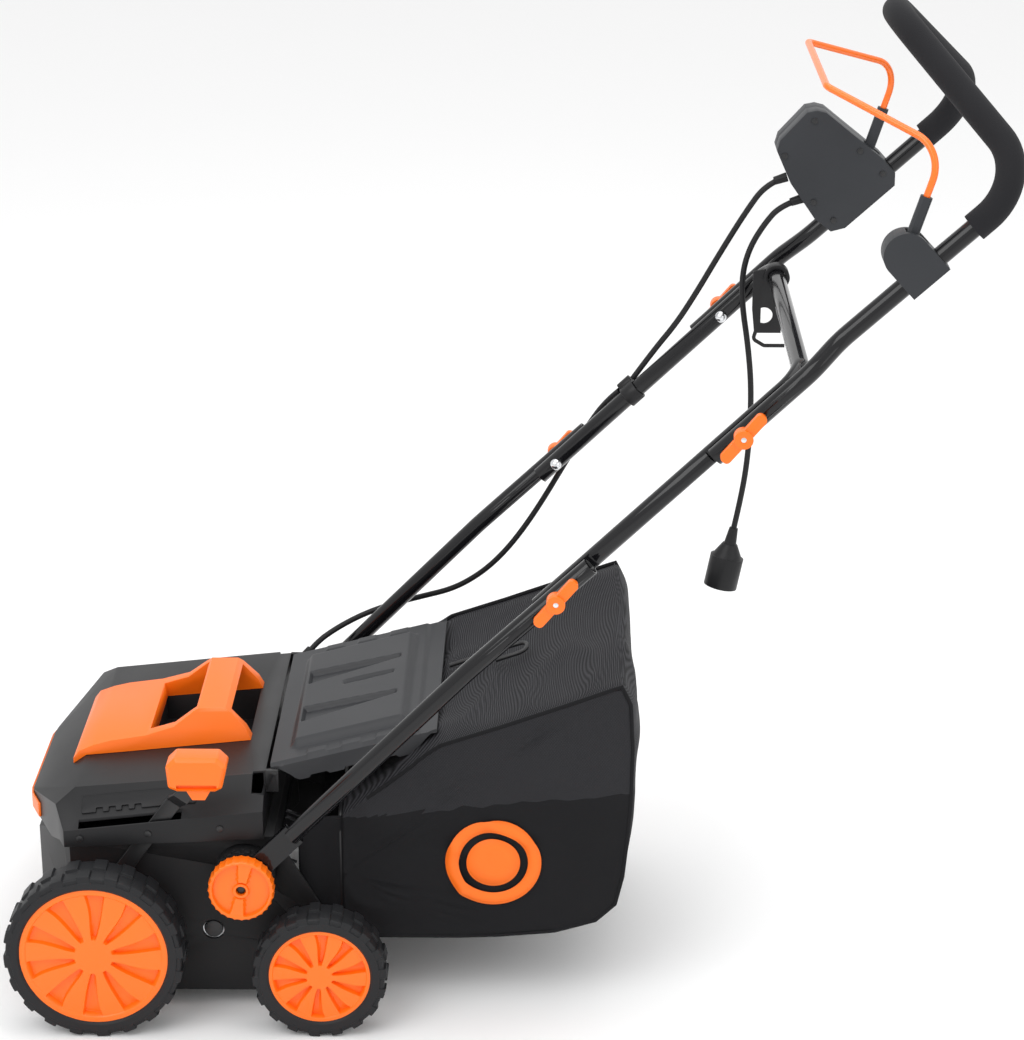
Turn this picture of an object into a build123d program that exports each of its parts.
"""Electric lawn dethatcher with a folding three-section handle and a grass bag.

Modelled in millimetres about the front axle: x grows towards the handle, y runs across the machine
(the depth lever is on the -y side) and z is height above the ground. Each piece is moved by
row_shift when it is written, so that x = 0 is midway between the front tyres and the rear of the grip.
"""
import os
from math import atan2, cos, degrees, hypot, pi, radians, sin, tan

from build123d import *

os.makedirs("parts", exist_ok=True)

# ---- wheels and stance ----
front_wheel_r = 100.0
rear_wheel_r = 75.0
wheelbase = 249.0
front_face_y = 273.0        # outer faces of the front wheels
rear_face_y = 270.0
front_tyre_w = 46.0
rear_tyre_w = 40.0
front_disc_r = 83.5
rear_disc_r = 57.5
tyre_lug_h = 4.0
axle_r = 6.0
running_fit = 0.06          # radial clearance of a turning shaft in its hole
axle_inset = 12.0           # axle end, inside the wheel's outer face

# ---- deck ----
deck_half = 200.0           # outer faces of the deck's side walls
deck_wall = 4.0
deck_bottom = 20.0
deck_top_front = 208.0
deck_top_rear = 214.0
deck_front_x = -88.0

# ---- upper cover ----
cover_half = 211.0
cover_wall = 3.0
cover_front_x = -96.0
cover_rear_x = 186.0
cover_top_front = 258.0     # height at x = -26
cover_top_slope = 0.098
crease_front = 226.0        # height at x = -35 where the shoulder meets the side band
crease_slope = 0.115
shoulder_slope = 0.75
cover_edge_front = 204.0
cover_edge_rear = 216.0

# ---- depth lever and cranked front axle ----
crank_x = -28.0
crank_z = 100.0
lever_angle = 53.9          # from the ground, at the raised position
lever_travel = 25.0
strap_y = 205.5
strap_t = 4.0
strap_w = 18.0
grip_reach = 253.0          # crank centre to the middle of the lever grip
grip_w = 67.0
grip_h = 40.0
grip_t = 28.0
grip_y = 228.0
crank_shaft_r = 8.0

# ---- reel, motor and belt drive ----
reel_x = 125.0
reel_z = 97.0
reel_drum_r = 22.0
reel_shaft_r = 10.0
tine_tip_r = 78.0
tine_wire_r = 1.7
tine_half_pitch = 8.0
tine_rows = 4
tines_per_row = 5
motor_x = -8.0
motor_z = 160.0
motor_r = 40.0
motor_y0 = -70.0
motor_y1 = 130.0
motor_shaft_r = 6.0
motor_pulley_r = 22.0
reel_pulley_r = 44.0
belt_t = 4.0
belt_w = 11.0
belt_fit = 0.4
pulley_y = 178.0
pulley_w = 13.0
bearing_r = 21.0
bearing_w = 10.0
belt_guard_y = 164.0

# ---- carrying handle ----
carry_half = 85.0
carry_front_x = -43.0
carry_rear_x = 163.0
carry_bar_x0 = 95.0
carry_bar_x1 = 138.0
carry_bar_top = 312.0
carry_rail_w = 21.0

# ---- rear flap ----
flap_half = 160.0
flap_x0 = 190.0
flap_z0 = 282.0
flap_length = 192.0
flap_slope = 14.5
flap_t = 3.0
flap_skirt = 26.0
flap_rib_h = 8.0
flap_channel_half = 13.0
flap_rod_r = 3.0

# ---- grass bag ----
bag_half = 190.0
bag_wall = 3.0
bag_wire_r = 3.0

# ---- folding handle ----
tube_r = 10.0
tube_wall = 1.4
pivot_x = 163.0
pivot_z = 171.0
outer_tube_y = 225.0        # lower tubes, and the lower ends of the upper tube
inner_tube_y = 208.0        # middle tube, and the upper tube above its joggle
nest_gap = 1.5              # between the nested tubes at a joint
handle_angle = 43.8
lower_joint_x = 508.0
lower_joint_z = 513.5
upper_joint_reach = 268.0   # lower joint to upper joint
bend_x = 414.0
bend_z = 426.0
lower_tube_past = 51.0      # lower tube's end beyond the lower joint
middle_tube_past = 26.0     # middle tube's end before the lower joint
upper_tube_past = 39.0      # upper tube's end before the upper joint
cross_bar_reach = 85.0      # upper joint to the middle handle's cross bar
joggle_start = 97.0         # upper joint to the bend that brings the upper tube inwards
joggle_end = 137.0
corner_x = 989.0
corner_z = 967.0
apex_x = 846.0
apex_z = 1121.0
corner_r = 60.0
arch_r = 80.0
joggle_r = 60.0
foam_r = 15.3
foam_before = 77.0          # foam's end, before the upper handle's corner
lug_t = 8.0                 # thickness of the flattened tube ends at the deck
lug_w = 26.0
lug_reach = 84.0
knob_r = 37.0
knob_t = 20.5
knob_gap = 0.5
ratchet_r = 34.0
stud_r = 4.0
bolt_r = 3.0

# ---- switch box, bail and cord ----
box_x = 858.0
box_z = 843.0
box_y0 = 188.0
box_y1 = 234.0
box_split_y = 211.0
box_wall = 3.0
bail_x = 864.0
bail_z = 888.0
bail_y = 207.0
bail_rod_r = 3.75
bail_hub_r = 13.0
bail_hub_w = 11.0
bail_pin_r = 4.0
bail_pin_half = 12.0
bail_socket_r = 6.5
bail_slot_w = 15.0
bail_corner_x = 898.0
bail_corner_z = 996.0
bail_bar_x = 785.5
bail_bar_z = 1041.0
bail_bar_half = 118.0
bracket_r = 24.0
bracket_y0 = 194.0
bracket_y1 = 222.0
bracket_flat = 40.0         # bail pivot to the bracket's flat lower edge
button_r = 8.0
cable_r = 3.5
cord_r = 3.5
plug_r = 20.0
hook_y = 165.0

Y_UP = Vector(0, 1, 0)


# ---------------------------------------------------------------- helpers
def prism(points, start, end, axis):
    """Polygon extruded along one axis; points are the other two coordinates in x, y, z order."""
    def place(p, along):
        full = list(p)
        full.insert("xyz".index(axis), along)
        return Vector(*full)
    face = Face(Wire.make_polygon([place(p, start) for p in points], close=True))
    direction = {"x": (1, 0, 0), "y": (0, 1, 0), "z": (0, 0, 1)}[axis]
    return extrude(face, amount=end - start, dir=direction)


def rod_y(x, z, r, y0, y1):
    """Cylinder along y."""
    return Pos(x, (y0 + y1) / 2, z) * Rot(X=90) * Cylinder(r, abs(y1 - y0))


def ring_y(x, z, r_out, r_in, y0, y1):
    """Hollow cylinder along y."""
    return rod_y(x, z, r_out, y0, y1) - rod_y(x, z, r_in, y0 - 1, y1 + 1)


def sweep_round(path, r, r_in=0.0):
    """Round rod, or a tube when r_in is given, along a path."""
    plane = Plane(origin=path @ 0, z_dir=path % 0)
    section = plane * Circle(r)
    if r_in:
        section = section - plane * Circle(r_in)
    return sweep(section, path=path)


def far(shape):
    """The same piece on the other side of the machine."""
    return mirror(shape, about=Plane.XZ)


def block(x0, x1, y0, y1, z0, z1):
    """Box between two corners."""
    return Pos((x0 + x1) / 2, (y0 + y1) / 2, (z0 + z1) / 2) * Box(x1 - x0, y1 - y0, z1 - z0)


def beyond(origin, normal):
    """A very large block on the side of a plane that its normal points to."""
    return Plane(origin=origin, z_dir=normal) * Pos(0, 0, 1500) * Box(3000, 3000, 3000)


def bar(a, b, r, r_in=0.0):
    """Straight rod or tube between two points."""
    return sweep_round(Line(a, b), r, r_in)


handle_u = Vector(cos(radians(handle_angle)), 0, sin(radians(handle_angle)))
handle_v = Vector(-sin(radians(handle_angle)), 0, cos(radians(handle_angle)))
grip_angle = atan2(
    corner_z - (lower_joint_z + (upper_joint_reach + joggle_end) * sin(radians(handle_angle))),
    corner_x - (lower_joint_x + (upper_joint_reach + joggle_end) * cos(radians(handle_angle))),
)
grip_u = Vector(cos(grip_angle), 0, sin(grip_angle))
grip_v = Vector(-sin(grip_angle), 0, cos(grip_angle))
lower_joint = Vector(lower_joint_x, 0, lower_joint_z)


def on_handle(reach, rise=0.0, y=0.0):
    """Point at a distance along the straight handle from the lower joint, and above its line."""
    return lower_joint + handle_u * reach + handle_v * rise + Y_UP * y


def handle_prism(points, y0, y1):
    """Polygon of (reach, rise) points beside the straight handle, extruded across the machine."""
    flat = [on_handle(a, b) for a, b in points]
    return prism([(p.X, p.Z) for p in flat], y0, y1, "y")


def upper_joint():
    return on_handle(upper_joint_reach)


# ---------------------------------------------------------------- deck
deck_side = [
    (deck_front_x, 70), (deck_front_x + 22, deck_bottom), (wheelbase - 9, deck_bottom),
    (wheelbase + 16, 42), (wheelbase + 22, rear_wheel_r), (wheelbase + 12, 104),
    (205, deck_top_rear - 12), (196, deck_top_rear), (-44, deck_top_front), (deck_front_x, 165),
]
deck_inside = [
    (deck_front_x + deck_wall, 71), (deck_front_x + 25, deck_bottom - 5), (wheelbase + 60, deck_bottom - 5),
    (wheelbase + 60, deck_top_rear + 60), (206, deck_top_rear - 10), (195, deck_top_rear - deck_wall),
    (-43, deck_top_front - deck_wall), (deck_front_x + deck_wall, 164),
]


def deck_plan(inset):
    """Deck outline from above, with its front corners cut off under the cover's."""
    front, half = deck_front_x + inset, deck_half - inset
    return [
        (front, -78), (-32 + inset * 0.5, -half), (400, -half), (400, half),
        (-32 + inset * 0.5, half), (front, 78),
    ]


def make_deck():
    deck = prism(deck_side, -deck_half, deck_half, "y") & prism(deck_plan(0), 0, 400, "z")
    deck -= prism(deck_inside, -deck_half, deck_half, "y") & prism(deck_plan(deck_wall), 0, 400, "z")
    # front skid bar and a cross brace behind the reel keep the side walls apart
    deck += block(deck_front_x + deck_wall - 1, deck_front_x + 24, -88, 88, 72, 76)
    deck += rod_y(reel_x + 70, 198, 6, -deck_half + 2, deck_half - 2)
    for side in (-1, 1):
        y0, y1 = sorted((side * (deck_half - deck_wall), side * (deck_half - deck_wall - bearing_w)))
        deck += ring_y(reel_x, reel_z, bearing_r + 5, bearing_r, y0, y1)
        deck -= rod_y(reel_x, reel_z, reel_shaft_r + 2, y0 - 20, y1 + 20)
        deck -= rod_y(crank_x, crank_z, crank_shaft_r + running_fit, y0 - 20, y1 + 20)
        deck -= rod_y(wheelbase, rear_wheel_r, axle_r, y0 - 20, y1 + 20)
        deck -= rod_y(pivot_x, pivot_z, stud_r, y0 - 20, y1 + 20)
    # two webs carry the motor can
    for y in (motor_y0 + 25, motor_y1 - 30):
        web = block(deck_front_x + 3, motor_x + 60, y, y + 5, 128, deck_top_front - 3)
        deck += web & prism(deck_side, y, y + 5, "y")
        deck -= rod_y(motor_x, motor_z, motor_r, y - 1, y + 6)
    return deck


# ---------------------------------------------------------------- upper cover
def cover_top(x):
    """Height of the cover's top surface."""
    return cover_top_front + (x + 26) * cover_top_slope


def shoulder_z(x, y):
    """Height of the sloped shoulder at a distance y from the middle."""
    return crease_front + (x + 35) * crease_slope + (209 - y) * shoulder_slope


def cover_block(inset):
    """Outer shape of the cover, drawn in by inset on every side but the bottom."""
    side = [
        (cover_front_x + inset, 150), (cover_front_x + 4 + inset, 213),
        (-28 + inset * 0.4, cover_top(-28) - inset),
        (cover_rear_x - inset, cover_top(cover_rear_x) - inset), (cover_rear_x - inset, 150),
    ]
    half = cover_half - inset
    front = cover_front_x + inset
    plan = [
        (front + 6, -85), (-36 + inset * 0.5, -half), (cover_rear_x, -half),
        (cover_rear_x, half), (-36 + inset * 0.5, half), (front + 6, 85), (front, 50), (front, -50),
    ]
    shape = prism(side, -half - 5, half + 5, "y")
    shape &= prism(plan, 140, 330, "z")
    for sign in (-1, 1):
        normal = Vector(-crease_slope, sign * shoulder_slope, 1).normalized()
        edge = Vector(0, sign * cover_half, shoulder_z(0, cover_half))
        shape -= beyond(edge - normal * inset, normal)
    return shape


def cover_below():
    """Everything under the cover's lower edge."""
    slope = (cover_edge_rear - cover_edge_front) / (cover_rear_x + 44)
    under = [
        (cover_front_x - 20, 100), (cover_rear_x + 20, 100),
        (cover_rear_x + 20, cover_edge_rear + slope * 20),
        (-44, cover_edge_front), (-60, 190), (cover_front_x - 20, 186),
    ]
    return prism(under, -cover_half - 20, cover_half + 20, "y")


def lever_slot(z0, z1):
    """Straight slot that the lever's strap travels in."""
    low, high = crease_front - 6 - crank_z, cover_top(100) + 4 - crank_z
    x_rest = crank_x + high / tan(radians(lever_angle))
    x_low = crank_x + low / tan(radians(lever_angle + lever_travel))
    reach = strap_w / 2 + 6
    return block(x_low - reach, x_rest - 4, -strap_y - 4.5, -strap_y + 4.5, z0, z1)


def make_cover():
    cover = cover_block(0) - cover_block(cover_wall)
    cover -= cover_below()
    # the rear corners step down beside the flap
    for sign in (-1, 1):
        y0, y1 = sorted((sign * (flap_half + 6), sign * (cover_half + 5)))
        cover -= block(cover_rear_x - 14, cover_rear_x + 10, y0, y1, 262, 320)
    cover -= lever_slot(crease_front - 2, 300)
    # tub under the carrying handle for the fingers
    rail = carry_half - carry_rail_w
    cover -= block(46, carry_rear_x - 4, -rail, rail, 240, 320)
    tub = block(43, carry_rear_x - 1, -rail - 3, rail + 3, 233, 320)
    tub -= block(46, carry_rear_x - 4, -rail, rail, 236, 330)
    cover += tub & cover_block(1.0)
    return cover


def make_front_trim():
    """Coloured bar across the cover's front face."""
    band = cover_block(-3.0) & block(cover_front_x - 10, -50, -112, 112, 192, 211)
    return band - cover_block(0.0)


def make_depth_scale():
    """Notched plate on the sloped shoulder beside the lever's slot."""
    x, y = 46.0, 187.0
    normal = Vector(-crease_slope, -shoulder_slope, 1).normalized()
    plane = Plane(origin=Vector(x, -y, shoulder_z(x, y)) + normal * 0.1, x_dir=(1, 0,
        crease_slope), z_dir=normal)
    plate = Pos(0, 0, 1) * Box(128, 22, 2.0)
    for i in range(4):
        plate -= Pos(-44 + 14.5 * i, -9, 1) * Box(7.5, 7, 6)
    return plane * plate


def make_carry_handle():
    """Moulded top handle: a sloped front panel, two side rails and a cross bar over the hand space."""
    base_z = cover_top_front + 3
    outline = [
        (carry_front_x, 240), (carry_front_x, base_z - 7), (carry_front_x + 7, base_z + 2),
        (carry_front_x + 24, base_z + 9), (0, base_z + 14), (40, base_z + 20),
        (carry_bar_x0 - 22, base_z + 30),
        (carry_bar_x0, carry_bar_top - 4), (carry_bar_x0 + 6, carry_bar_top),
        (carry_bar_x1 - 6, carry_bar_top),
        (carry_bar_x1, carry_bar_top - 4), (carry_rear_x - 8, base_z + 28), (carry_rear_x, base_z + 12),
        (carry_rear_x, 240),
    ]
    body = prism(outline, -carry_half, carry_half, "y")
    # side rails lean inwards
    lean = [
        (-carry_half, 240), (-carry_half, base_z + 1), (-carry_half + 12, carry_bar_top + 2),
        (carry_half - 12, carry_bar_top + 2), (carry_half, base_z + 1), (carry_half, 240),
    ]
    body &= prism(lean, carry_front_x - 5, carry_rear_x + 5, "x")
    # hand space below the bar, open to the rear, with a scooped front
    rail = carry_half - carry_rail_w
    scoop = [
        (44, base_z + 22), (52, base_z - 20), (carry_rear_x + 20, base_z - 20),
        (carry_rear_x + 20, base_z + 60), (carry_bar_x1 + 4, base_z + 60),
        (carry_bar_x1 - 3, carry_bar_top - 15),
        (carry_bar_x0 + 12, carry_bar_top - 15), (carry_bar_x0 - 3, base_z + 60), (44, base_z + 60),
    ]
    body -= prism(scoop, -rail, rail, "y")
    # the shell is hollow below and is trimmed to the cover's top
    hollow = [
        (carry_front_x + 6, base_z - 20), (carry_front_x + 14, base_z), (36, base_z + 14),
        (38, base_z - 20),
    ]
    body -= prism(hollow, -carry_half + 5, carry_half - 5, "y")
    body -= cover_block(-0.3)
    return body


# ---------------------------------------------------------------- wheels
def make_tyre(r, disc_r, width, lugs):
    """Tyre ring with a rounded shoulder and block lugs, its outer face at y = 0, about the origin."""
    lip = 2.0
    ring = rod_y(0, 0, r, 0, width) - rod_y(0, 0, disc_r, -1, width + 1)
    ring = fillet(ring.edges().filter_by(GeomType.CIRCLE).filter_by(lambda e: e.radius > r - 1), 5)
    groove = Box(7, width * 0.42, tyre_lug_h * 2)
    for i in range(lugs):
        turn = 360 / lugs * i
        ring -= Rot(Y=turn) * Pos(0, width * 0.21 - lip, r) * groove
        ring -= Rot(Y=turn + 180 / lugs) * Pos(0, width * 0.79 + lip, r) * groove
    return ring


def make_hub(disc_r, width, spokes, bore):
    """Dished wheel disc with a raised rim and curved spokes, its face at y = 2."""
    t = 16.0
    disc = rod_y(0, 0, disc_r, 2, 2 + t)
    pocket_in = disc_r * 0.36
    pocket_out = disc_r * 0.86
    half = pi / spokes
    for i in range(spokes):
        a = 2 * half * i
        pts = []
        for r, da in ((pocket_in, -0.42), (pocket_out, -0.66), (pocket_out, 0.66), (pocket_in, 0.42)):
            pts.append((r * cos(a + half * da), r * sin(a + half * da)))
        disc -= prism(pts, 1, 2 + 5, "y")
    disc += rod_y(0, 0, disc_r * 0.20, 2, width - 4)
    disc += ring_y(0, 0, disc_r, disc_r - 5, 2, width - 3)
    disc -= rod_y(0, 0, bore + running_fit, 8, width + 2)
    return disc


def place_wheel(shape, x, z, face_y, side):
    """Puts a wheel made at the origin on its axle; side is -1 on the lever side."""
    placed = Pos(x, -face_y, z) * shape
    return placed if side < 0 else far(placed)


# ---------------------------------------------------------------- cranked front axle and depth lever
def make_front_crank():
    """Pivot shaft across the deck, with an arm and a stub axle for a wheel at each end."""
    arm_y0 = strap_y + strap_t / 2 + 2
    axle = rod_y(crank_x, crank_z, crank_shaft_r, -arm_y0 - 1, arm_y0 + 1)
    for side in (-1, 1):
        y0, y1 = sorted((side * arm_y0, side * (arm_y0 + 5)))
        arm = block(crank_x, 0, y0, y1, crank_z - 11, crank_z + 11)
        arm += rod_y(crank_x, crank_z, 11, y0, y1)
        arm += rod_y(0, front_wheel_r, 11, y0, y1)
        s0, s1 = sorted((side * (arm_y0 + 4), side * (front_face_y - axle_inset)))
        axle += arm + rod_y(0, front_wheel_r, axle_r, s0, s1)
    return axle


def lever_frame(shape):
    """Turns a piece drawn along +x from the crank centre to the lever's rest angle."""
    return Pos(crank_x, 0, crank_z) * Rot(Y=-lever_angle) * shape


def make_lever_arm():
    """Steel strap from the crank up through the slot, stepped outwards below the grip."""
    a, b = strap_y, grip_y
    t = strap_t / 2
    profile = [
        (12, -a + t), (12, -a - t), (196, -a - t), (214, -b - t), (238, -b - t),
        (238, -b + t), (216, -b + t), (198, -a + t),
    ]
    strap = prism(profile, -strap_w / 2, strap_w / 2, "z")
    collar = Rot(X=90) * Cylinder(17, strap_t)
    lever = strap + Pos(0, -a, 0) * collar
    return lever_frame(lever - Rot(X=90) * Cylinder(crank_shaft_r, 600))


def make_lever_grip():
    """Flared finger grip with a recess on its lower half, and a neck around the strap."""
    c = lever_frame(Pos(grip_reach, 0, 0) * Sphere(1)).center()
    x, z = c.X - 3, c.Z + 3
    w, h = grip_w / 2, grip_h / 2
    outline = [
        (x - w + 2, z - h + 4), (x - w, z + h - 10), (x - w + 10, z + h), (x + w - 10, z + h),
        (x + w, z + h - 10), (x + w - 6, z - h + 4), (x + w - 14, z - h), (x - w + 12, z - h),
    ]
    grip = prism(outline, -grip_y - grip_t / 2, -grip_y + grip_t / 2, "y")
    grip = fillet(grip.edges().filter_by(Axis.Y), 5)
    grip = chamfer(grip.faces().sort_by(Axis.Y)[0].edges(), 4)
    grip -= block(x - 22, x + 22, -grip_y - grip_t / 2 - 1, -grip_y - grip_t / 2 + 5, z - h + 4, z - h + 9)
    neck = [(x - 14, z - h + 2), (x + 16, z - h + 2), (x + 8, z - h - 12), (x - 6, z - h - 12)]
    grip += prism(neck, -grip_y - 7, -grip_y + 12, "y")
    return grip - make_lever_arm()


# ---------------------------------------------------------------- reel, motor and belt
def make_reel_shaft():
    shaft = rod_y(reel_x, reel_z, reel_shaft_r, -deck_half + 1, deck_half - 1)
    return shaft + rod_y(reel_x, reel_z, reel_drum_r, -176, belt_guard_y - 6)


def make_tines():
    """Double spring tines in staggered rows around the drum."""
    base_r = reel_drum_r + tine_wire_r + 0.1
    knee_r = tine_tip_r - 20
    p = tine_half_pitch
    path = FilletPolyline(
        (9, -p, tine_tip_r), (0, -p, knee_r), (0, -p, base_r), (0, p, base_r), (0, p, knee_r),
        (9, p, tine_tip_r),
        radius=5,
    )
    tine = sweep_round(path, tine_wire_r)
    spread = belt_guard_y - 30 + 160
    tines = []
    for row in range(tine_rows):
        for i in range(tines_per_row):
            y = -158 + spread * (i + 0.25 * row) / tines_per_row
            tines.append(Pos(reel_x, y, reel_z) * Rot(Y=360 / tine_rows * row) * tine)
    return tines


def make_pulley(x, z, r, bore):
    pulley = rod_y(x, z, r, pulley_y - pulley_w / 2, pulley_y + pulley_w / 2)
    groove = ring_y(x, z, r + 5, r - belt_t, pulley_y - belt_w / 2, pulley_y + belt_w / 2)
    return pulley - groove - rod_y(x, z, bore, 0, 300)


def belt_loop(extra):
    """Outline of the belt round both pulleys, extra outside the groove floor, as a solid."""
    dx, dz = reel_x - motor_x, reel_z - motor_z
    span = hypot(dx, dz)
    heading = atan2(dz, dx)
    r1 = motor_pulley_r - belt_t + belt_fit + extra
    r2 = reel_pulley_r - belt_t + belt_fit + extra
    tilt = atan2(r2 - r1, span)
    corners = []
    for sign, first in ((1, True), (-1, False)):
        a = heading + sign * (pi / 2 + tilt)
        p1 = (motor_x + r1 * cos(a), motor_z + r1 * sin(a))
        p2 = (reel_x + r2 * cos(a), reel_z + r2 * sin(a))
        corners += [p1, p2] if first else [p2, p1]
    y0, y1 = pulley_y - belt_w / 2 + 0.5, pulley_y + belt_w / 2 - 0.5
    loop = prism(corners, y0, y1, "y")
    return loop + rod_y(motor_x, motor_z, r1, y0, y1) + rod_y(reel_x, reel_z, r2, y0, y1)


def make_belt_guard():
    """Plate that walls the belt off from the reel, with a rim to the deck's side wall."""
    outline = [
        (motor_x - 52, motor_z - 30), (motor_x - 52, motor_z + 34), (motor_x + 62, motor_z + 34),
        (reel_x + 62, reel_z + 62), (reel_x + 66, reel_z - 20), (reel_x + 30, reel_z - 62),
        (reel_x - 40, reel_z - 62), (motor_x + 42, crank_z + 12), (motor_x - 34, crank_z + 22),
    ]
    plate = prism(outline, belt_guard_y, belt_guard_y + 3, "y")
    plate -= rod_y(reel_x, reel_z, reel_shaft_r + 3, 0, 300)
    plate -= rod_y(motor_x, motor_z, motor_shaft_r + 4, 0, 300)
    return plate & prism(deck_inside, 0, 300, "y") & prism(deck_plan(deck_wall), 0, 400, "z")


def make_motor_can():
    can = rod_y(motor_x, motor_z, motor_r, motor_y0, motor_y1)
    can -= rod_y(motor_x, motor_z, motor_r - 7, motor_y0 + 6, motor_y1 - 6)
    can -= rod_y(motor_x, motor_z, 11, motor_y0 - 1, motor_y1 + 1)
    for i in range(8):
        vent = Rot(Y=45 * i) * Pos(0, 0, motor_r * 0.62) * Box(9, 40, 10)
        can -= Pos(motor_x, motor_y1, motor_z) * vent
    return can


def make_rotor():
    shaft = rod_y(motor_x, motor_z, motor_shaft_r, motor_y0 - 6, pulley_y + pulley_w / 2 + 2)
    core = rod_y(motor_x, motor_z, motor_r - 12, motor_y0 + 30, motor_y1 - 60)
    core += rod_y(motor_x, motor_z, 14, motor_y0 + 16, motor_y0 + 30)
    slots = 12
    for i in range(slots):
        slot = Rot(Y=360 / slots * i) * Pos(0, 0, motor_r - 12) * Box(2.5, 400, 7)
        core -= Pos(motor_x, 0, motor_z) * slot
    fan = rod_y(motor_x, motor_z, 12, motor_y1 - 40, motor_y1 - 24)
    fan += rod_y(motor_x, motor_z, motor_r - 10, motor_y1 - 28, motor_y1 - 24)
    for i in range(9):
        blade = Rot(Y=40 * i) * Pos(0, 0, 20) * Rot(Z=14) * Box(2, 15, 20)
        fan += Pos(motor_x, motor_y1 - 33, motor_z) * blade
    return shaft + core + fan


def make_shaft_bearings():
    """Ball-bearing rings: two on the reel's shaft and two in the motor can's ends."""
    rings = []
    for side in (-1, 1):
        y0, y1 = sorted((side * (deck_half - deck_wall), side * (deck_half - deck_wall - bearing_w)))
        rings.append(ring_y(reel_x, reel_z, bearing_r, reel_shaft_r + running_fit, y0, y1))
    for y in (motor_y0, motor_y1 - 6):
        rings.append(ring_y(motor_x, motor_z, 11, motor_shaft_r + running_fit, y, y + 6))
    return rings


# ---------------------------------------------------------------- rear flap
def flap_point(along, up):
    """Point in the flap's side view, from its hinge edge."""
    a = radians(flap_slope)
    return (flap_x0 + along * cos(a) - up * sin(a), flap_z0 + along * sin(a) + up * cos(a))


def flap_prism(points, y0, y1):
    return prism([flap_point(a, b) for a, b in points], y0, y1, "y")


def make_flap():
    length = flap_length
    flap = flap_prism([(0, -flap_t), (0, 0), (length, 0), (length, -flap_t)], -flap_half, flap_half)
    panel = [(18, -1), (30, flap_rib_h), (length - 46, flap_rib_h), (length - 34, -1)]
    raised = flap_prism(panel, -flap_half + 34, flap_half - 34)
    hollow = [(22, -flap_t - 1), (33, flap_rib_h - flap_t), (length - 49, flap_rib_h - flap_t),
        (length - 38, -4)]
    flap = flap + raised - flap_prism(hollow, -flap_half + 37, flap_half - 37)
    for y in (-62, 62):
        flap += flap_prism(panel, y - flap_channel_half - flap_t, y + flap_channel_half + flap_t)
        channel = [(20, flap_t), (20, 30), (length - 62, 30), (length - 50, flap_t)]
        flap -= flap_prism(channel, y - flap_channel_half, y + flap_channel_half)
    skirt = [(6, 0), (length - 20, 0), (length - 30, -14), (40, -flap_skirt), (14, -flap_skirt * 0.8)]
    for side in (-1, 1):
        y0, y1 = sorted((side * flap_half, side * (flap_half - flap_t)))
        flap += flap_prism(skirt, y0, y1)
    flap += flap_prism([(length - 3, 0), (length, 0), (length, -6), (length - 3, -6)], -flap_half, flap_half)
    # hinge knuckles round the rod
    hx, hz = flap_point(4, -8)
    for y in (-flap_half + 12, -30, flap_half - 42):
        knuckle = rod_y(hx, hz, 6.5, y, y + 30) + flap_prism([(0, -8), (0, 0), (9, 0), (9, -8)], y, y + 30)
        flap += knuckle
    return flap - rod_y(hx, hz, flap_rod_r + running_fit, -300, 300)


def make_flap_rod():
    """Hinge rod held by a lug at each end on the cover's rear face."""
    hx, hz = flap_point(4, -8)
    rod = rod_y(hx, hz, flap_rod_r, -flap_half - 8, flap_half + 8)
    for side in (-1, 1):
        y = side * (flap_half + 5)
        rod += block(cover_rear_x, hx + 4, y - 2.5, y + 2.5, hz - 22, hz + 4)
    return rod


# ---------------------------------------------------------------- grass bag
bag_side = [
    (272, 236), (350, 296), (368, 314), (384, 325), (584, 396), (597, 350), (596, 250),
    (590, 183), (583, 130),
    (560, 106), (512, 90), (406, 82), (272, 80),
]


def inset_bag(points, gap):
    """The bag's side outline drawn in towards its middle, and run out through the open mouth."""
    cx, cz = 430, 210
    drawn = []
    for x, z in points:
        d = hypot(x - cx, z - cz)
        drawn.append((x + (cx - x) * gap / d, z + (cz - z) * gap / d))
    drawn[0] = (points[0][0] - 6, points[0][1] - gap - 5)
    drawn[-1] = (points[-1][0] - 6, points[-1][1] + gap)
    return drawn


def make_bag():
    bag = prism(bag_side, -bag_half, bag_half, "y")
    bag = fillet(bag.edges().filter_by(Axis.Y).filter_by(lambda e: e.center().X > 570), 10)
    return bag - prism(inset_bag(bag_side, bag_wall + 2), -bag_half + bag_wall, bag_half - bag_wall, "y")


def make_bag_frame():
    """Steel wire round the mouth, and a wire hairpin that lies along the top of the bag."""
    x = bag_side[0][0] - bag_wire_r
    y = bag_half - 8
    low, high = bag_side[-1][1] + 8, bag_side[0][1] - 6
    loop = FilletPolyline(
        (x, 0, high), (x, -y, high), (x, -y, low), (x, y, low), (x, y, high), (x, 2, high), radius=18)
    slope = atan2(396 - 325, 584 - 384)
    wire_r = 2.5
    points = []
    for along, across in ((2, 16), (98, 16), (98, -12), (60, -12)):
        points.append((
            384 + along * cos(slope) - wire_r * sin(slope), across,
            325 + along * sin(slope) + wire_r * cos(slope)))
    return [sweep_round(loop, bag_wire_r), sweep_round(FilletPolyline(*points, radius=12), wire_r)]


# ---------------------------------------------------------------- folding handle
def flattened(tube, solid, reaches, y_flat, side):
    """Presses a tube flat at y_flat between two reaches, removing what lies beyond it."""
    a, b = reaches
    window = [(a, -45), (b, -45), (b, 45), (a, 45)]
    tube -= handle_prism(window, *sorted((y_flat, y_flat + side * 60)))
    return tube + (solid & handle_prism(window, *sorted((y_flat, y_flat - side * tube_wall))))


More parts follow.
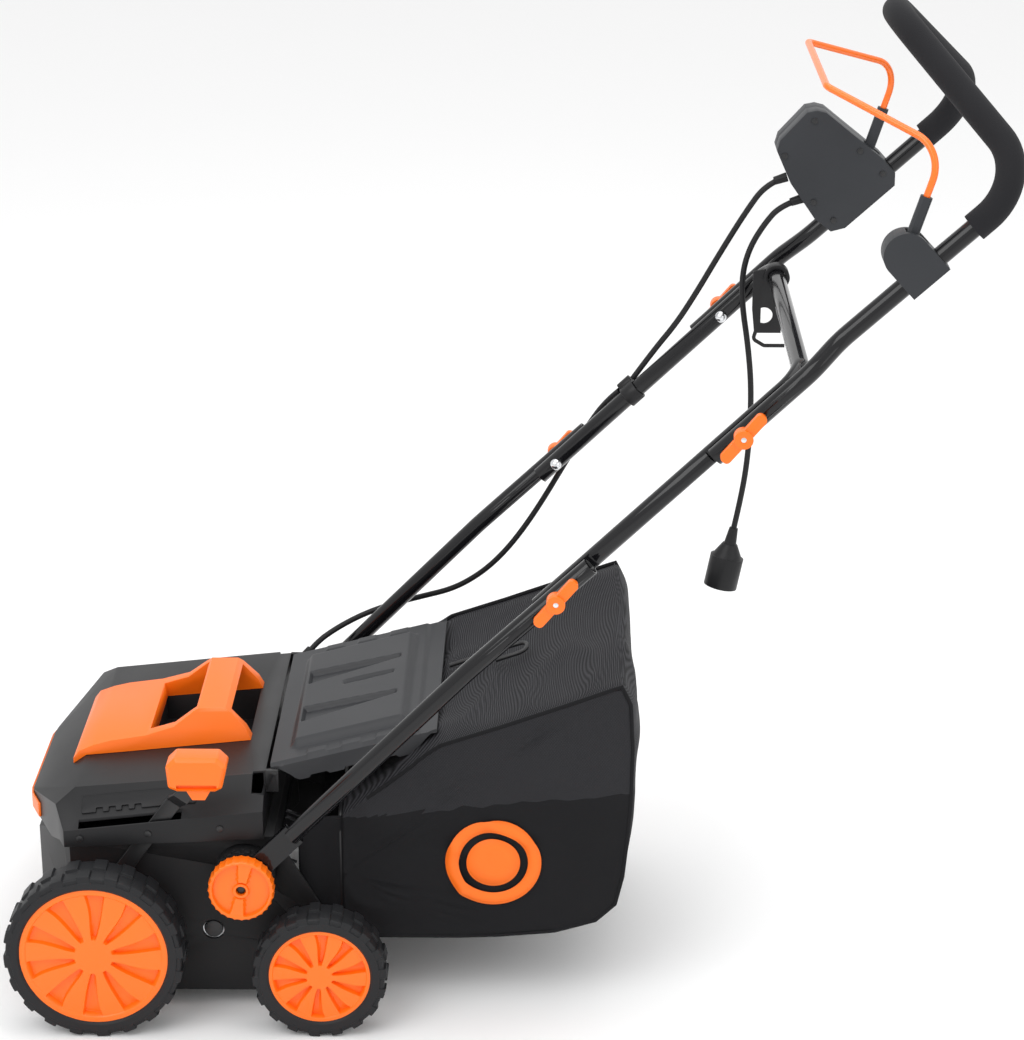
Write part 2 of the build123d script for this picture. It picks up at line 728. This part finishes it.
def make_lower_tube():
    """One lower leg: a flattened lug at the deck, a slight bend, and a straight end at the joint."""
    y = -outer_tube_y
    heading = atan2(bend_z - pivot_z, bend_x - pivot_x)
    start = lug_reach - 6
    elbow = Vector(pivot_x + start * cos(heading), y, pivot_z + start * sin(heading))
    path = FilletPolyline(elbow, Vector(bend_x, y, bend_z), on_handle(lower_tube_past, 0, y), radius=300)
    tube = sweep_round(path, tube_r, tube_r - tube_wall)
    lug = Pos(lug_reach / 2, 0, 0) * Box(lug_reach, lug_t, lug_w) + Rot(X=90) * Cylinder(18, lug_t)
    tube += Pos(pivot_x, y, pivot_z) * Rot(Y=-degrees(heading)) * lug
    tube -= rod_y(pivot_x, pivot_z, stud_r + running_fit, y - 30, y + 30)
    return tube - rod_y(lower_joint_x, lower_joint_z, bolt_r + running_fit, y - 30, y + 30)


def make_middle_tube():
    """U-shaped middle section, pressed flat where the other sections nest against it."""
    top = upper_joint_reach + cross_bar_reach
    points = [
        on_handle(-middle_tube_past, 0, -inner_tube_y), on_handle(top, 0, -inner_tube_y),
        on_handle(top, 0, inner_tube_y), on_handle(-middle_tube_past, 0, inner_tube_y),
    ]
    path = FilletPolyline(*points, radius=26)
    solid = sweep_round(path, tube_r)
    tube = sweep_round(path, tube_r, tube_r - tube_wall)
    flat = outer_tube_y - tube_r - nest_gap
    for side in (-1, 1):
        tube = flattened(tube, solid, (-middle_tube_past - 5, 57), side * flat, side)
        tube = flattened(tube, solid, (upper_joint_reach - 45, top + 20), side * flat, side)
    for j in (lower_joint, upper_joint()):
        tube -= rod_y(j.X, j.Z, bolt_r, -300, 300)
    return tube


def upper_half(y_sign):
    """Corner points of one half of the upper handle, from its lower end to the corner of the arch."""
    reaches = (upper_joint_reach - upper_tube_past, upper_joint_reach + joggle_start,
        upper_joint_reach + joggle_end)
    ys = (outer_tube_y, outer_tube_y, inner_tube_y)
    points = [on_handle(reach, 0, y_sign * y) for reach, y in zip(reaches, ys)]
    return points + [Vector(corner_x, y_sign * inner_tube_y, corner_z)]


def make_upper_tube():
    near, away = upper_half(-1), upper_half(1)
    radii = [joggle_r, joggle_r, corner_r, arch_r, corner_r, joggle_r, joggle_r]
    path = FilletPolyline(*near, Vector(apex_x, 0, apex_z), *away[::-1], radius=radii)
    j = upper_joint()
    return sweep_round(path, tube_r, tube_r - tube_wall) - rod_y(j.X, j.Z, bolt_r + running_fit, -300, 300)


def make_foam():
    """Foam sleeve round the arch and a little way down both legs."""
    corner, away = upper_half(-1)[-1], upper_half(1)[-1]
    points = [
        corner - grip_u * foam_before, corner, Vector(apex_x, 0, apex_z), away, away - grip_u * foam_before,
    ]
    return sweep_round(FilletPolyline(*points, radius=[corner_r, arch_r, corner_r]), foam_r, tube_r)


def make_joint_bolts():
    """Four domed bolts, fixed in the middle section, that the handle folds on."""
    bolts = []
    for j in (lower_joint, upper_joint()):
        for side in (-1, 1):
            seat = inner_tube_y - tube_r - 0.1
            bolt = rod_y(j.X, j.Z, bolt_r, *sorted((side * (seat - 3), side * (outer_tube_y + tube_r + 15))))
            dome = Pos(j.X, side * seat, j.Z) * Sphere(7)
            cut = sorted((side * seat, side * 300))
            bolts.append(bolt + (dome - block(j.X - 20, j.X + 20, cut[0], cut[1], j.Z - 20, j.Z + 20)))
    return bolts


def make_wing_knob(joint):
    """Two-winged clamping knob on the outside of a joint, lying along the tube."""
    y0 = -outer_tube_y - tube_r - knob_gap
    hub = rod_y(joint.X, joint.Z, 10, y0 - 15, y0)
    wing = fillet(Box(65, 8, 12).edges().filter_by(Axis.Y), 5)
    knob = hub + Pos(joint.X, y0 - 8, joint.Z) * Rot(Y=-handle_angle - 6) * wing
    return knob - rod_y(joint.X, joint.Z, bolt_r + running_fit, y0 - 40, y0 + 5)


def make_pivot_knob():
    """Scalloped clamping knob with a recessed face and a finger bar across it."""
    y_in = -outer_tube_y - lug_t / 2 - knob_gap
    y_out = y_in - knob_t
    knob = rod_y(pivot_x, pivot_z, knob_r, y_out, y_in)
    scallops = 24
    for i in range(scallops):
        a = 2 * pi / scallops * i
        knob -= rod_y(pivot_x + (knob_r + 1.6) * cos(a), pivot_z + (knob_r + 1.6) * sin(a), 3,
            y_out - 1, y_in + 1)
    knob -= ring_y(pivot_x, pivot_z, knob_r - 5, 10, y_out - 1, y_out + 12)
    knob += Pos(pivot_x, y_out + 7, pivot_z) * Rot(Y=62) * Box(2 * knob_r - 8, 12, 13)
    return knob - rod_y(pivot_x, pivot_z, stud_r + running_fit, y_out + 2, y_in + 5)


def make_ratchet_rings():
    """Toothed rings on the deck that the handle's lugs clamp against."""
    face = -outer_tube_y + lug_t / 2 + knob_gap
    ring = ring_y(pivot_x, pivot_z, ratchet_r, stud_r, face, -deck_half)
    teeth = 20
    for i in range(teeth):
        a = 2 * pi / teeth * i
        ring -= rod_y(pivot_x + ratchet_r * cos(a), pivot_z + ratchet_r * sin(a), 2.2, face - 1, face + 6)
    return [ring, far(ring)]


def make_pivot_studs():
    inside = -deck_half + deck_wall
    near = rod_y(pivot_x, pivot_z, stud_r, -outer_tube_y - 20, inside + 6)
    near += rod_y(pivot_x, pivot_z, 9, inside, inside + 6)
    return [near, far(near)]


clip_turn = radians(45)      # where the cable lies round the middle tube, from above towards the outside
clip_reach = 126.0


def clip_point(along):
    """Centre of the motor's cable at the clip."""
    out = tube_r + cable_r + 1.2
    return on_handle(clip_reach + along, out * cos(clip_turn), inner_tube_y + out * sin(clip_turn))


def make_cable_clip():
    """Clip on the far leg of the middle section that holds the motor's cable."""
    a, b = on_handle(clip_reach - 9, 0, inner_tube_y), on_handle(clip_reach + 9, 0, inner_tube_y)
    clip = bar(a, b, tube_r + 3) + bar(clip_point(-9), clip_point(9), cable_r + 3.5)
    return clip - bar(a - handle_u * 2, b + handle_u * 2, tube_r)


# ---------------------------------------------------------------- switch box and bail
box_outline = [
    (-49, -6), (-34, -14), (41, -14), (51, -3), (51, 20), (38, 104), (32, 113), (22, 119),
    (-22, 115), (-33, 108),
    (-46, 69), (-53, 18),
]
box_inside = [
    (-47, 24), (45, 24), (34, 102), (29, 109), (21, 114), (-20, 111), (-29, 105), (-42, 68),
]
motor_lead = (-47.5, 74.0)   # where the two leads leave the box
power_lead = (-50.0, 42.0)
lead_y = 206.0


def on_box(u, v, y=0.0):
    """Point from the switch box's reference point, along and above the upper tube."""
    return Vector(box_x, y, box_z) + grip_u * u + grip_v * v


def box_prism(points, y0, y1):
    flat = [on_box(u, v) for u, v in points]
    return prism([(p.X, p.Z) for p in flat], y0, y1, "y")


bail_pivot = Vector(bail_x, 0, bail_z)
bail_out = (Vector(bail_corner_x, 0, bail_corner_z) - bail_pivot).normalized()


def upper_leg(side, margin):
    """Solid rod where the upper tube's straight leg runs, a margin longer than the switch box."""
    corner = upper_half(side)[-1]
    return bar(corner - grip_u * (240 + margin), corner - grip_u * 70, tube_r)


def bail_slot(side):
    """Space that the bail's hub and socket swing in."""
    y0, y1 = side * bail_y - bail_slot_w / 2, side * bail_y + bail_slot_w / 2
    sweep_window = [(0, -8), (60, -8), (60, 43), (-4.5, 7.5)]
    flat = [bail_pivot + grip_u * u + grip_v * v for u, v in sweep_window]
    return rod_y(bail_x, bail_z, bail_hub_r + 1.5, y0, y1) + prism([(p.X, p.Z) for p in flat], y0, y1, "y")


def pin_hole(side):
    y = side * bail_y
    reach = bail_pin_half + 0.5
    return rod_y(bail_x, bail_z, bail_pin_r + running_fit, y - reach, y + reach)


def make_switch_box(front):
    """One half of the switch box, split on a plane along the tube, with the tube clamped between."""
    y0, y1 = (box_y0, box_split_y) if front else (box_split_y, box_y1)
    half = box_prism(box_outline, y0, y1)
    half -= box_prism(box_inside, box_y0 + box_wall, box_y1 - box_wall)
    half += rod_y(bail_x, bail_z, bail_pin_r + 5, y0, y1)
    half -= bail_slot(1) + pin_hole(1) + upper_leg(1, 40)
    for u, v in (motor_lead, power_lead):
        half -= bar(on_box(u - 12, v, lead_y), on_box(u + 12, v, lead_y), 6.8)
    b = on_box(-5, 62)
    half -= rod_y(b.X, b.Z, button_r + 0.5, box_y1 - 8, box_y1 + 5)
    return half


def make_bail():
    """Bent rod whose ends are held in two sockets; it is squeezed towards the grip to run the motor."""
    def side_points(sign):
        return [
            bail_pivot + bail_out * 40 + Y_UP * (sign * bail_y), Vector(bail_corner_x,
            sign * bail_y, bail_corner_z),
            Vector(bail_bar_x, sign * bail_bar_half, bail_bar_z),
        ]
    points = side_points(-1) + side_points(1)[::-1]
    return sweep_round(FilletPolyline(*points, radius=[36, 12, 12, 36]), bail_rod_r)


def make_bail_sockets():
    """Hub with a cross pin, and a socket for the rod, at each end of the bail."""
    sockets = []
    for side in (-1, 1):
        y = side * bail_y
        at = bail_pivot + Y_UP * y
        arm = bar(at + bail_out * 6, at + bail_out * 62, bail_socket_r)
        arm &= block(0, 2000, y - bail_hub_w / 2, y + bail_hub_w / 2, 0, 2000)
        hub = rod_y(bail_x, bail_z, bail_hub_r, y - bail_hub_w / 2, y + bail_hub_w / 2)
        hub += rod_y(bail_x, bail_z, bail_pin_r, y - bail_pin_half, y + bail_pin_half)
        sockets.append(hub + arm - bar(at + bail_out * 40, at + bail_out * 90, bail_rod_r))
    return sockets


def make_bail_bracket():
    """D-shaped housing clamped on the near tube, with the bail's near pivot inside."""
    low = -bracket_flat
    corners = [
        bail_pivot + grip_u * -bracket_r, bail_pivot + grip_u * bracket_r,
        bail_pivot + grip_u * bracket_r + grip_v * low, bail_pivot - grip_u * bracket_r + grip_v * low,
    ]
    shape = prism([(p.X, p.Z) for p in corners], -bracket_y1, -bracket_y0, "y")
    shape += rod_y(bail_x, bail_z, bracket_r, -bracket_y1, -bracket_y0)
    return shape - (bail_slot(-1) + upper_leg(-1, 0)) - pin_hole(-1)


def make_mains_switch():
    q = on_box(-6, 66, 209)
    body = Pos(q.X, q.Y, q.Z) * Rot(Y=-degrees(grip_angle)) * Box(34, 20, 30)
    lever = Pos(q.X, q.Y, q.Z) * Rot(Y=-degrees(grip_angle)) * Pos(8, 0, -17) * Box(14, 10, 6)
    return body + lever


def make_safety_button():
    b = on_box(-5, 62)
    button = rod_y(b.X, b.Z, button_r, box_y1 - box_wall - 1.5, box_y1 + 4.5)
    return button + rod_y(b.X, b.Z, button_r + 2.5, box_y1 - box_wall - 2.5, box_y1 - box_wall - 0.5)


def make_box_screws():
    """Pan-head screws in the switch box's near face."""
    screws = []
    for u, v in ((22, 106), (-30, 98), (38, 44), (-41, 34), (40, 6), (-38, 2)):
        q = on_box(u, v)
        screws.append(rod_y(q.X, q.Z, 3.4, box_y0 - 1.5, box_y0))
    return screws


def make_strain_reliefs():
    """Tapered sleeves where the two leads leave the box."""
    sleeves = []
    for (u, v), path in (((motor_lead), motor_cable_upper_points), ((power_lead), cord_points)):
        heading = (path[1] - path[0]).normalized()
        plane = Plane(origin=path[0], z_dir=heading)
        sleeve = plane * Pos(0, 0, 6) * Cone(5.6, 4.8, 16)
        sleeves.append(sleeve - plane * Pos(0, 0, 6) * Cylinder(cord_r + 0.2, 30))
    return sleeves


def make_cord_hook():
    """Plate that hangs on the cross bar, with a hole and a wire rest for a looped cord."""
    at = on_handle(upper_joint_reach + cross_bar_reach, 0, 0)
    x, z = at.X, at.Z
    t = 4.0
    plate = prism(
        [(x - 27, z + 6), (x + 4, z + 12), (x + 8, z - 28), (x + 7, z - 68), (x - 24, z - 68),
        (x - 27, z - 40)],
        hook_y - t / 2, hook_y + t / 2, "y")
    plate -= rod_y(x - 13, z - 47, 10, hook_y - 5, hook_y + 5) & block(x - 17, x + 20, 0, 300, 0, 2000)
    plate += ring_y(x, z, tube_r + 5, tube_r + 0.4, hook_y - 8, hook_y + 8)
    plate -= rod_y(x, z, tube_r + 0.4, hook_y - 20, hook_y + 20)
    wire = FilletPolyline(
        (x - 22, hook_y, z - 66), (x - 25, hook_y, z - 76), (x - 12, hook_y, z - 84),
        (x + 12, hook_y, z - 84),
        radius=5)
    return plate + sweep_round(wire, 2.2)


# ---------------------------------------------------------------- cables
def corner_radii(points):
    """Arc at each corner of a cable: 0.45 of its shorter run over the tangent of half the turn."""
    radii = []
    for a, b, c in zip(points, points[1:], points[2:]):
        turn = radians((b - a).get_angle(c - b))
        radii.append(0.45 * min((b - a).length, (c - b).length) / tan(turn / 2))
    return radii


def make_cable(name, points, r):
    radii = corner_radii(points)
    path = FilletPolyline(*points, radius=radii)
    solid = sweep_round(path, r)
    print(name, "length", round(path.length, 1), "smallest radius", round(min(radii), 1),
          "volume error", round(solid.volume / (pi * r * r * path.length) - 1, 4))
    return solid


motor_cable_upper_points = [
    on_box(*motor_lead, lead_y), Vector(751, 206, 858), Vector(727, 205, 823), Vector(697, 205, 771),
    Vector(673, 206, 727), Vector(650, 208, 688), Vector(624, 213, 653), clip_point(10.8),
]
motor_cable_lower_points = [
    clip_point(-11), Vector(568, 231, 583), Vector(547, 241, 549), Vector(522, 244, 504),
    Vector(490, 240, 448), Vector(463, 235, 408), Vector(439, 236, 378), Vector(413, 240, 353),
    Vector(381, 246, 332), Vector(344, 249, 321), Vector(306, 248, 311), Vector(270, 243, 299),
    Vector(237, 228, 286), Vector(211, 208, 273), Vector(196, 194, 256),
]
cord_points = [
    on_box(*power_lead, lead_y), Vector(768, 205, 832), Vector(749, 204, 809), Vector(733, 200, 782),
    Vector(725, 195, 752), Vector(726, 190, 714), Vector(733, 183, 672), Vector(738, 175, 625),
    Vector(738, 168, 575), Vector(735, 161, 530), Vector(729, 156, 489), Vector(721, 153, 450),
]
cord_end_direction = (cord_points[-1] - cord_points[-2]).normalized()


def make_plug():
    """Round inlet plug on the cord's end, with a tapered relief."""
    plane = Plane(origin=cord_points[-1], z_dir=cord_end_direction)
    plug = plane * Pos(0, 0, 10) * Cone(5.2, 7.5, 20) + plane * Pos(0, 0, 28) * Cone(9, plug_r - 2, 16)
    return plug + plane * Pos(0, 0, 55) * Cylinder(plug_r, 38)


def make_cable_gland():
    q = motor_cable_lower_points[-1]
    heading = (motor_cable_lower_points[-2] - q).normalized()
    plane = Plane(origin=q, z_dir=heading)
    gland = plane * Pos(0, 0, -3) * Cylinder(8, 20) + plane * Pos(0, 0, 13) * Cone(6.5, 5, 12)
    gland -= plane * Pos(0, 0, 15) * Cylinder(cable_r + 0.15, 30)
    return gland & beyond(Vector(cover_rear_x, 0, 0), Vector(1, 0, 0))


def make_housing_screws():
    """Screw heads along the cover's side bands."""
    screws = []
    for x in (-18, 58, 138):
        z = (shoulder_z(x, cover_half) + cover_edge_front + (x + 44) * 0.052) / 2
        for side in (-1, 1):
            screws.append(rod_y(x, z, 3.6, *sorted((side * cover_half, side * (cover_half + 1.6)))))
    return screws


def make_rear_axle():
    return rod_y(wheelbase, rear_wheel_r, axle_r, -rear_face_y + axle_inset, rear_face_y - axle_inset)


# ---------------------------------------------------------------- write the pieces
def as_list(shape):
    """The separate solids of a shape or of a list of shapes."""
    shapes = shape if isinstance(shape, list) else [shape]
    solids = []
    for s in shapes:
        solids += s.solids()
    return solids


pieces = {
    "deck_housing": make_deck(),
    "upper_cover": make_cover(),
    "front_trim": make_front_trim(),
    "depth_scale": make_depth_scale(),
    "carry_handle": make_carry_handle(),
    "motor_housing": make_motor_can(),
    "belt_guard": make_belt_guard(),
    "drive_belt": belt_loop(belt_t) - belt_loop(0),
    "rear_axle": make_rear_axle(),
    "shaft_bearings": make_shaft_bearings(),
    "housing_screws": make_housing_screws(),
    "flap_hinge_rod": make_flap_rod(),
    "ratchet_rings": make_ratchet_rings(),
    "pivot_studs": make_pivot_studs(),
    "cable_gland": make_cable_gland(),
    "front_crank_axle": make_front_crank(),
    "depth_lever_arm": make_lever_arm(),
    "depth_lever_grip": make_lever_grip(),
    "reel_shaft": make_reel_shaft(),
    "spring_tines": make_tines(),
    "reel_pulley": make_pulley(reel_x, reel_z, reel_pulley_r, reel_shaft_r),
    "motor_rotor": make_rotor(),
    "motor_pulley": make_pulley(motor_x, motor_z, motor_pulley_r, motor_shaft_r),
    "rear_flap": make_flap(),
    "grass_bag": make_bag(),
    "bag_frame": make_bag_frame(),
    "lower_tubes": [make_lower_tube(), far(make_lower_tube())],
    "pivot_knob_near": make_pivot_knob(),
    "pivot_knob_far": far(make_pivot_knob()),
    "middle_tube": make_middle_tube(),
    "joint_bolts": make_joint_bolts(),
    "cable_clip": make_cable_clip(),
    "upper_tube": make_upper_tube(),
    "foam_grip": make_foam(),
    "switch_box_front": make_switch_box(True),
    "switch_box_back": make_switch_box(False),
    "box_screws": make_box_screws(),
    "box_strain_reliefs": make_strain_reliefs(),
    "mains_switch": make_mains_switch(),
    "bail_bracket": make_bail_bracket(),
    "bail_rod": make_bail(),
    "bail_sockets": make_bail_sockets(),
    "safety_button": make_safety_button(),
    "cord_hook": make_cord_hook(),
    "motor_cable_upper": make_cable("motor_cable_upper", motor_cable_upper_points, cable_r),
    "motor_cable_lower": make_cable("motor_cable_lower", motor_cable_lower_points, cable_r),
    "power_cord": make_cable("power_cord", cord_points, cord_r),
    "cord_plug": make_plug(),
}
for place, joint in (("lower", lower_joint), ("upper", upper_joint())):
    pieces[place + "_wing_knob_near"] = make_wing_knob(joint)
    pieces[place + "_wing_knob_far"] = far(make_wing_knob(joint))
for place, x, r, disc_r, width, face_y, lugs, spokes in (
    ("front", 0.0, front_wheel_r, front_disc_r, front_tyre_w, front_face_y, 16, 12),
    ("rear", wheelbase, rear_wheel_r, rear_disc_r, rear_tyre_w, rear_face_y, 14, 12),
):
    tyre = make_tyre(r, disc_r, width, lugs)
    hub = make_hub(disc_r, width, spokes, axle_r)
    for side_name, side in (("near", -1), ("far", 1)):
        pieces[f"{place}_tyre_{side_name}"] = place_wheel(tyre, x, r, face_y, side)
        pieces[f"{place}_hub_{side_name}"] = place_wheel(hub, x, r, face_y, side)

grip_box = Compound(children=as_list(pieces["foam_grip"])).bounding_box()
row_shift = Pos(-(grip_box.max.X - front_wheel_r) / 2, 0, 0)
print("row shift", row_shift.position.X, "nodes", len(pieces))
for name, shape in pieces.items():
    solids = [row_shift * s for s in as_list(shape)]
    whole = solids[0] if len(solids) == 1 else Compound(children=solids)
    export_step(whole, os.path.join("parts", name + ".step"))
